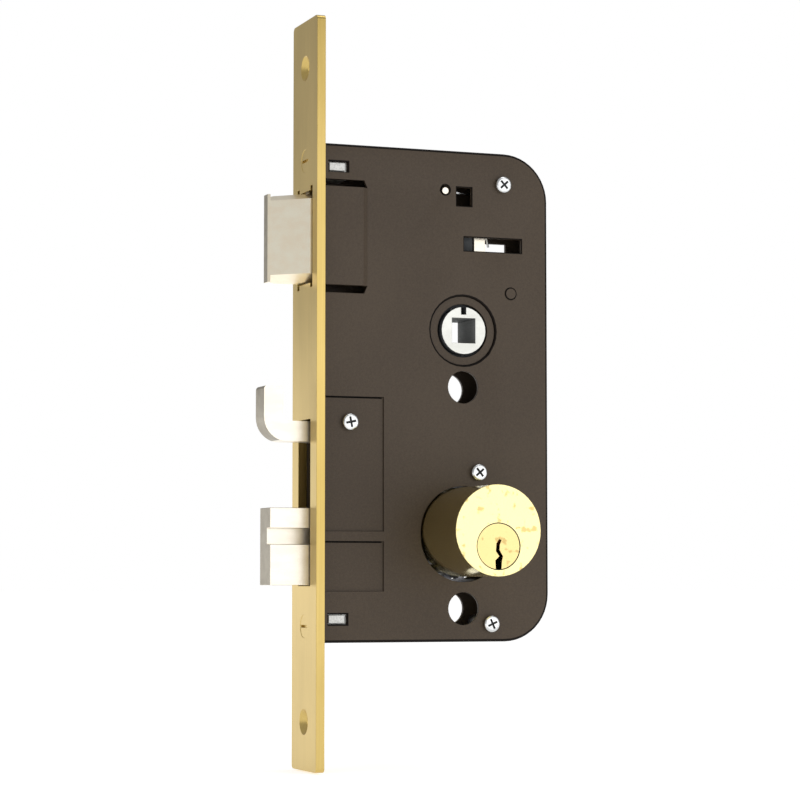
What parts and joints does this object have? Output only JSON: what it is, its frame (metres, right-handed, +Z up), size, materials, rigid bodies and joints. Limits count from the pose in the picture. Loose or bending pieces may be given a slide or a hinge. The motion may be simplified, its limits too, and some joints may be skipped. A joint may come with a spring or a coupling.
{
  "type": "mortise lock",
  "caption": "Mortise lock: brass faceplate, sprung latch, rising hook bolt and deadbolt in a brown steel case with a round double cylinder and a square spindle hub.",
  "frame": {"origin": "centre of the faceplate's front face", "axes": "-X out of the door edge, the way the bolts are thrown; +X into the door; +Z up; -Y the cover side"},
  "size_m": [0.1007, 0.0756, 0.25],
  "materials": {
    "satin_brass": "brushed satin brass",
    "polished_brass": "polished brass",
    "brown_paint": "fine-textured dark brown enamel",
    "satin_nickel": "satin nickel plate",
    "bright_nickel": "bright plated",
    "zinc": "cast zinc",
    "steel": "plain steel"
  },
  "bodies": {
    "lock": {"case_tray": "brown_paint", "faceplate": "satin_brass", "cover_plate": "brown_paint", "front_block_upper": "zinc", "front_block_lower": "zinc", "faceplate_screw_upper": "satin_brass", "faceplate_screw_lower": "satin_brass", "post_top": "steel", "post_hook": "steel", "post_cylinder": "steel", "post_bottom": "steel", "cover_screw_top": "bright_nickel", "cover_screw_hook": "bright_nickel", "cover_screw_cylinder": "bright_nickel", "cover_screw_bottom": "bright_nickel", "spacer_rivet": "brown_paint", "stop_pin": "satin_nickel", "spring_post": "steel", "return_spring": "bright_nickel", "latch_guide": "steel", "latch_spring": "steel", "guide_pin_front": "steel", "guide_pin_back": "steel", "detent_spring": "steel", "hook_guide": "steel", "guide_rivet": "steel", "cylinder_body": "polished_brass", "cylinder_retainer": "steel", "driver_pin_1": "polished_brass", "driver_pin_2": "polished_brass", "driver_pin_3": "polished_brass", "driver_pin_4": "polished_brass", "driver_pin_5": "polished_brass", "pin_spring_1": "steel", "pin_spring_2": "steel", "pin_spring_3": "steel", "pin_spring_4": "steel", "pin_spring_5": "steel"},
    "latch": {"latch_bolt": "satin_nickel", "latch_tail": "satin_nickel", "latch_rivet": "steel"},
    "hub": {"hub": "satin_nickel", "hub_lever": "steel"},
    "deadbolt": {"deadbolt": "satin_nickel", "bolt_carriage": "steel", "carriage_rivet_upper": "steel", "carriage_rivet_lower": "steel"},
    "hook": {"hook_bolt": "satin_nickel", "hook_pin_lower": "steel", "hook_pin_upper": "steel"},
    "plug": {"plug_near": "polished_brass", "plug_far": "polished_brass", "cam": "steel", "clutch": "steel", "key_pin_1": "polished_brass", "key_pin_2": "polished_brass", "key_pin_3": "polished_brass", "key_pin_4": "polished_brass", "key_pin_5": "polished_brass"}
  },
  "joints": [
    {"name": "hub_turn", "type": "hinge", "parent": "lock", "child": "hub", "pos_m": [0.054, 0, 0.0218], "axis": [0, 1, 0], "range_deg": [0, 21.8], "deforming": ["return_spring"]},
    {"name": "latch_slide", "type": "slide", "parent": "lock", "child": "latch", "axis": [1, 0, 0], "range_m": [0, 0.012], "stiffness_N_per_m": 300, "springref_m": -0.01, "deforming": ["latch_spring"]},
    {"name": "deadbolt_slide", "type": "slide", "parent": "lock", "child": "deadbolt", "axis": [1, 0, 0], "range_m": [0, 0.016], "deforming": ["detent_spring"]},
    {"name": "hook_drop", "type": "slide", "parent": "deadbolt", "child": "hook", "axis": [0, 0, -1], "range_m": [0, 0.021]},
    {"name": "cylinder_turn", "type": "hinge", "parent": "lock", "child": "plug", "pos_m": [0.054, 0, -0.0514], "axis": [0, -1, 0], "range_deg": [0, 102]}
  ],
  "couplings": [
    {"joint": "hub_turn", "follows": "latch_slide", "rad_per_m": 31.7},
    {"joint": "hook_drop", "follows": "deadbolt_slide", "ratio": 1.3125},
    {"joint": "cylinder_turn", "follows": "deadbolt_slide", "rad_per_m": 111.11}
  ]
}
